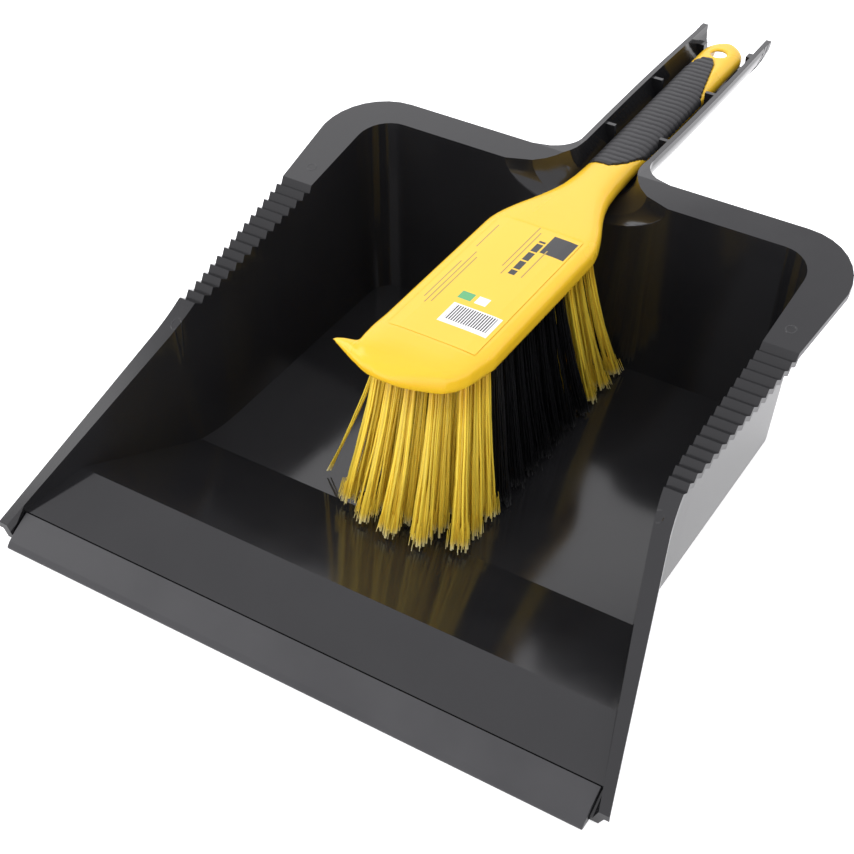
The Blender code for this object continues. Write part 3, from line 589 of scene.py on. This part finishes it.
# %% Bristle tree: its inputs
bristles, given, result = new_group(
    "bristles",
    "GeometryNodeTree",
    {
        "Geometry": ("NodeSocketGeometry", None),
        "Filaments": ("NodeSocketInt", 40),
        "Root Radius": ("NodeSocketFloat", 2.1 * MM),
        "Tip Across": ("NodeSocketFloat", 4.2 * MM),
        "Tip Along": ("NodeSocketFloat", 3.8 * MM),
        "Thickness": ("NodeSocketFloat", 0.38 * MM),
        "Uneven": ("NodeSocketFloat", 0.05),
        "Stray": ("NodeSocketFloat", 1.0 * MM),
        "Start": ("NodeSocketFloat", 0.0),
        "Seed": ("NodeSocketInt", 0),
        "Material": ("NodeSocketMaterial", None),
    },
    {"Geometry": "NodeSocketGeometry"},
)
RANDOM_LOW, RANDOM_HIGH, RANDOM_SEED = 2, 3, 8  # float sockets of a Random Value node
RANDOM_RESULT = 1


def chance(low, high, salt):
    """A random number for each filament, fixed by the tree's seed."""
    seed = arithmetic(bristles, "ADD", given["Seed"], float(salt))
    inputs = {RANDOM_LOW: low, RANDOM_HIGH: high, RANDOM_SEED: seed}
    made = place_node(bristles, "FunctionNodeRandomValue", inputs, data_type="FLOAT")
    return made.outputs[RANDOM_RESULT]


def total(first, second):
    return arithmetic(bristles, "ADD", first, second)


def product(first, second):
    return arithmetic(bristles, "MULTIPLY", first, second)


def vector_of(x, y, z):
    return place_node(bristles, "ShaderNodeCombineXYZ", {0: x, 1: y, 2: z}).outputs[0]


def vector_step(operation, first, second):
    made = place_node(bristles, "ShaderNodeVectorMath", {0: first, 1: second}, operation=operation)
    return made.outputs[0]


def keep(geometry, name, value, kind="FLOAT_VECTOR"):
    """Stores a value on the points, so that it is still known after the curves are made."""
    inputs = {"Geometry": geometry, "Name": name, "Value": value}
    made = place_node(bristles, "GeometryNodeStoreNamedAttribute", inputs, data_type=kind)
    return made.outputs["Geometry"]


def kept(name, kind="FLOAT_VECTOR"):
    made = place_node(bristles, "GeometryNodeInputNamedAttribute", {"Name": name}, data_type=kind)
    return made.outputs["Attribute"]


# %% Bristle tree: each filament's two ends
copies = place_node(
    bristles,
    "GeometryNodeDuplicateElements",
    {"Geometry": given["Geometry"], "Amount": given["Filaments"]},
    domain="POINT",
).outputs["Geometry"]
turn = chance(0.0, 2 * pi, 1)
out = arithmetic(bristles, "SQRT", chance(0.0, 1.0, 2))
disc_x = product(out, arithmetic(bristles, "COSINE", turn))
disc_y = product(out, arithmetic(bristles, "SINE", turn))
hole = place_node(bristles, "GeometryNodeInputPosition").outputs[0]
in_hole = vector_of(product(disc_x, given["Root Radius"]), product(disc_y, given["Root Radius"]), 0.0)
at_root = vector_step("ADD", hole, in_hole)
stray_x = product(chance(-1.0, 1.0, 3), given["Stray"])
stray_y = product(chance(-1.0, 1.0, 4), given["Stray"])
spread_x = product(disc_x, given["Tip Across"])
spread_y = product(disc_y, given["Tip Along"])
from_tip = vector_of(total(spread_x, stray_x), total(spread_y, stray_y), 0.0)
at_tip = vector_step("ADD", kept("tip"), from_tip)
share = arithmetic(bristles, "SUBTRACT", 1.0, product(chance(0.0, 1.0, 5), given["Uneven"]))
stored = keep(copies, "from", at_root)
stored = keep(stored, "reach", vector_step("SUBTRACT", at_tip, at_root))
stored = keep(stored, "share", share, "FLOAT")
stored = keep(stored, "tone", chance(0.0, 1.0, 6), "FLOAT")
stored = keep(stored, "phase", chance(0.0, 2 * pi, 7), "FLOAT")

# %% Bristle tree: the rods between them
STEPS = 6
DROOP = 1.25  # above 1, a filament falls straight at first and spreads later
RIPPLE = 0.35 * MM
RIPPLE_TURN = 9.0
ROD_SIDES = 4
straight = place_node(bristles, "GeometryNodeCurvePrimitiveLine", {"Start": (0, 0, 0), "End": (0, 0, 1)})
stepped = place_node(
    bristles, "GeometryNodeResampleCurve", {"Curve": straight.outputs[0], "Count": STEPS}
)
rods = place_node(
    bristles, "GeometryNodeInstanceOnPoints", {"Points": stored, "Instance": stepped.outputs[0]}
).outputs[0]
rods = place_node(bristles, "GeometryNodeRealizeInstances", {"Geometry": rods}).outputs[0]
along = place_node(bristles, "GeometryNodeSplineParameter").outputs["Factor"]
left = arithmetic(bristles, "SUBTRACT", 1.0, given["Start"])
along = total(given["Start"], product(along, left))
fallen = product(along, kept("share", "FLOAT"))
sideways = arithmetic(bristles, "POWER", fallen, DROOP)
drawn = vector_step("MULTIPLY", kept("reach"), vector_of(sideways, sideways, fallen))
swaying = arithmetic(bristles, "SINE", total(product(fallen, RIPPLE_TURN), kept("phase", "FLOAT")))
ripple = product(swaying, product(fallen, RIPPLE))
drawn = vector_step("ADD", drawn, vector_of(ripple, ripple, 0.0))
placed = place_node(
    bristles,
    "GeometryNodeSetPosition",
    {"Geometry": rods, "Position": vector_step("ADD", kept("from"), drawn)},
).outputs[0]
placed = keep(placed, "fall", fallen, "FLOAT")
section = place_node(
    bristles,
    "GeometryNodeCurvePrimitiveCircle",
    {"Resolution": ROD_SIDES, "Radius": given["Thickness"]},
    mode="RADIUS",
)
skin = place_node(
    bristles,
    "GeometryNodeCurveToMesh",
    {"Curve": placed, "Profile Curve": section.outputs[0], "Fill Caps": True},
).outputs[0]
smoothed = place_node(bristles, "GeometryNodeSetShadeSmooth", {"Geometry": skin}).outputs[0]
final = place_node(bristles, "GeometryNodeRealizeInstances", {"Geometry": smoothed}).outputs[0]
final = place_node(
    bristles, "GeometryNodeSetMaterial", {"Geometry": final, "Material": given["Material"]}
)
bristles.links.new(final.outputs[0], result["Geometry"])
print("bristle tree:", len(bristles.nodes), "nodes")

# %% [markdown]
# ## The colour of a filament
#
# A filament is painted darker near the block, a painted shade for the shadow that its neighbours cast
# there, and pale at its end, where it is split. The tree stores how far along its filament each point
# lies, and a random tone for each filament. A colour ramp reads the first and a small change of
# brightness reads the second, so no picture is needed.

# %% Bristle materials
# the ramp's darker root colour, up to the first stop, is painted shade where the filaments crowd
ROOT_SHADE_STOP, TIP_STOP = 0.12, 0.99
BODY_STOPS = (0.3, 0.93)
DARKEST, LIGHTEST = 0.72, 1.12


def bristle_material(name, root, body, tip, roughness):
    """Painted shade near the root, where the crowd of filaments shadows it, paler at the split ends, each
    filament a little its own.
    """
    made = bpy.data.materials.new(name)
    made.use_nodes = True
    tree = made.node_tree
    shader = tree.nodes["Principled BSDF"]
    fall = place_node(tree, "ShaderNodeAttribute", attribute_name="fall").outputs["Fac"]
    tone = place_node(tree, "ShaderNodeAttribute", attribute_name="tone").outputs["Fac"]
    ramp = place_node(tree, "ShaderNodeValToRGB", {0: fall})
    stops = ramp.color_ramp.elements
    # the root colour is painted shade, the tip colour the pale split ends
    stops[0].position, stops[0].color = ROOT_SHADE_STOP, (*root, 1.0)
    stops[1].position, stops[1].color = TIP_STOP, (*tip, 1.0)
    for position in BODY_STOPS:
        stops.new(position).color = (*body, 1.0)
    inputs = {"Value": remap(tree, tone, 0.0, 1.0, DARKEST, LIGHTEST), "Color": ramp.outputs[0]}
    shift = place_node(tree, "ShaderNodeHueSaturation", inputs)
    tree.links.new(shift.outputs[0], shader.inputs["Base Color"])
    tree.links.new(remap(tree, tone, 0.0, 1.0, *roughness), shader.inputs["Roughness"])
    return made


# the first colour of each is painted shade near the block
yellow_filament = bristle_material(
    "yellow_filament", (0.70, 0.42, 0.02), (1.0, 0.74, 0.07), (0.98, 0.88, 0.45), (0.28, 0.42)
)
black_filament = bristle_material(
    "black_filament", (0.004, 0.004, 0.004), (0.008, 0.008, 0.009), (0.06, 0.06, 0.06), (0.20, 0.34)
)

# %% [markdown]
# ## The bristles
#
# The yellow filaments are stout and few, and the black ones are thinner and many. All filaments of
# one colour are one mesh. Each tuft could be an object of its own, but 65 objects would be slow to
# draw and hard to pose, and they all move with the block anyway.


# %% Bristles
def bundle(name, tufts, material, slot_name, **values):
    """The filaments of many tufts as one plain mesh."""
    mesh = bpy.data.meshes.new(name)
    mesh.from_pydata([root for root, _ in tufts], [], [])
    aim = mesh.attributes.new("tip", "FLOAT_VECTOR", "POINT")
    aim.data.foreach_set("vector", [c for _, tip in tufts for c in tip])
    made = bpy.data.objects.new(name, mesh)
    bpy.context.scene.collection.objects.link(made)
    run_tree(made, bristles, Material=material, **values)
    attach(made, "brush")
    print(name, len(made.data.polygons), "faces")
    return made


yellow_filaments = bundle(
    "yellow_filaments",
    yellow_tufts,
    yellow_filament,
    "yellow_bristle",
    Filaments=22,
    Thickness=0.62 * MM,
    Seed=3,
)
black_filaments = bundle(
    "black_filaments",
    black_tufts,
    black_filament,
    "black_bristle",
    Filaments=42,
    Tip_Across=6.0 * MM,
    Seed=11,
)
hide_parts(*yellow_names)
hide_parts(*black_names)

# %% [markdown]
# ## Filaments that have gone astray
#
# A used brush is never quite tidy: three filaments of the front left tuft have bent out over the
# pan's floor. The same tree draws them, with a tip of their own. Every filament end is also frayed,
# and a second run of the tree adds those ends: many hair-thin rods that start near the tips.

# %% One loose bundle at the front left
STRAY_TIP = Vector((-51.8 * MM, -115.5 * MM, 5 * MM))
bundle(
    "stray_filaments",
    [(yellow_tufts[0][0], STRAY_TIP)],
    yellow_filament,
    "yellow_bristle",
    Filaments=3,
    Tip_Across=0.8 * MM,
    Tip_Along=0.8 * MM,
    Thickness=0.4 * MM,
    Uneven=0.02,
    Seed=41,
)

# %% Split ends
for name, tufts, finish, slot_name, seed in (
    ("yellow_split_ends", yellow_tufts, yellow_filament, "yellow_bristle", 21),
    ("black_split_ends", black_tufts, black_filament, "black_bristle", 31),
):
    bundle(
        name,
        tufts,
        finish,
        slot_name,
        Filaments=70,
        Thickness=0.16 * MM,
        Start=0.90,
        Tip_Across=4.8 * MM,
        Tip_Along=4.4 * MM,
        Stray=2.2 * MM,
        Uneven=0.07,
        Seed=seed,
    )

# %% [markdown]
# ## The label
#
# A printed film lies on the block. Only its layout is kept, with nothing that can be read: a dark
# square, a white field of fine bars, two small swatches, a row of thick bars and a few thin lines.
# A picture would be the usual way, but plain rectangles made from the film's own coordinates stay
# sharp from any distance and need no file.

# %% Rectangles and bars on the film
label_material, label_tree, label_shader, label_colour, _ = surface_of(
    "label_print", ((0.91, 0.56, 0.030), (0.93, 0.58, 0.034)), (0.22, 0.32), bump=0.05, grain=(0.5, 0.05)
)
label_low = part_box("label_film")[0]
label = NODES["label_film"]
spot = place_node(label_tree, "ShaderNodeTexCoord").outputs["Object"]
parts = place_node(label_tree, "ShaderNodeSeparateXYZ", {0: spot})
across, lengthwise = parts.outputs[0], parts.outputs[1]


def inside(value, low, high):
    above = arithmetic(label_tree, "GREATER_THAN", value, low)
    return arithmetic(label_tree, "MULTIPLY", above, arithmetic(label_tree, "LESS_THAN", value, high))


def field(x0, x1, y0, y1):
    """1 inside a rectangle of the film, measured in millimetres from its front left corner."""
    wide = inside(across, label_low.x + x0 * MM, label_low.x + x1 * MM)
    deep = inside(lengthwise, label_low.y + y0 * MM, label_low.y + y1 * MM)
    return arithmetic(label_tree, "MULTIPLY", wide, deep)


def stripes(value, low, pitch, share):
    """Bars of one width that repeat, each filling this share of the pitch."""
    ahead = arithmetic(label_tree, "SUBTRACT", value, low)
    place = arithmetic(label_tree, "FRACT", arithmetic(label_tree, "DIVIDE", ahead, pitch))
    return arithmetic(label_tree, "LESS_THAN", place, share)


def barred(rectangle, bars):
    return arithmetic(label_tree, "MULTIPLY", field(*rectangle), bars)


# %% Label
INK = (0.02, 0.02, 0.022)
PAPER = (0.85, 0.85, 0.84)
GREY_INK = (0.42, 0.28, 0.05)
GREEN_INK = (0.10, 0.42, 0.16)
LINE_WIDTH = 0.7
LINES = (  # place across, front end, rear end
    (3, 26, 60), (5.5, 22, 70), (8, 24, 66), (22, 66, 104), (24.5, 60, 100), (3, 74, 96), (34.5, 62, 88)
)
fine_bars = stripes(across, label_low.x, 1.3 * MM, 0.5)
thick_bars = stripes(lengthwise, label_low.y, 8.4 * MM, 0.86)
printed = [
    (field(32, 45, 85, 101), INK),
    (field(18, 44, 13, 29), PAPER),
    (barred((20, 42, 16, 28), fine_bars), INK),
    (field(17, 24, 33, 39), GREEN_INK),
    (field(26, 32, 33, 39), PAPER),
    (barred((27.5, 31, 62, 94), thick_bars), INK),
]
printed += [(field(x, x + LINE_WIDTH, low, high), GREY_INK) for x, low, high in LINES]
print_colour = label_colour
for mask, ink in printed:
    print_colour = mix_colours(label_tree, mask, print_colour, (*ink, 1.0))
label_tree.links.new(print_colour, label_shader.inputs["Base Color"])
label.data.materials.clear()
label.data.materials.append(label_material)
print("label:", len(printed), "printed shapes")
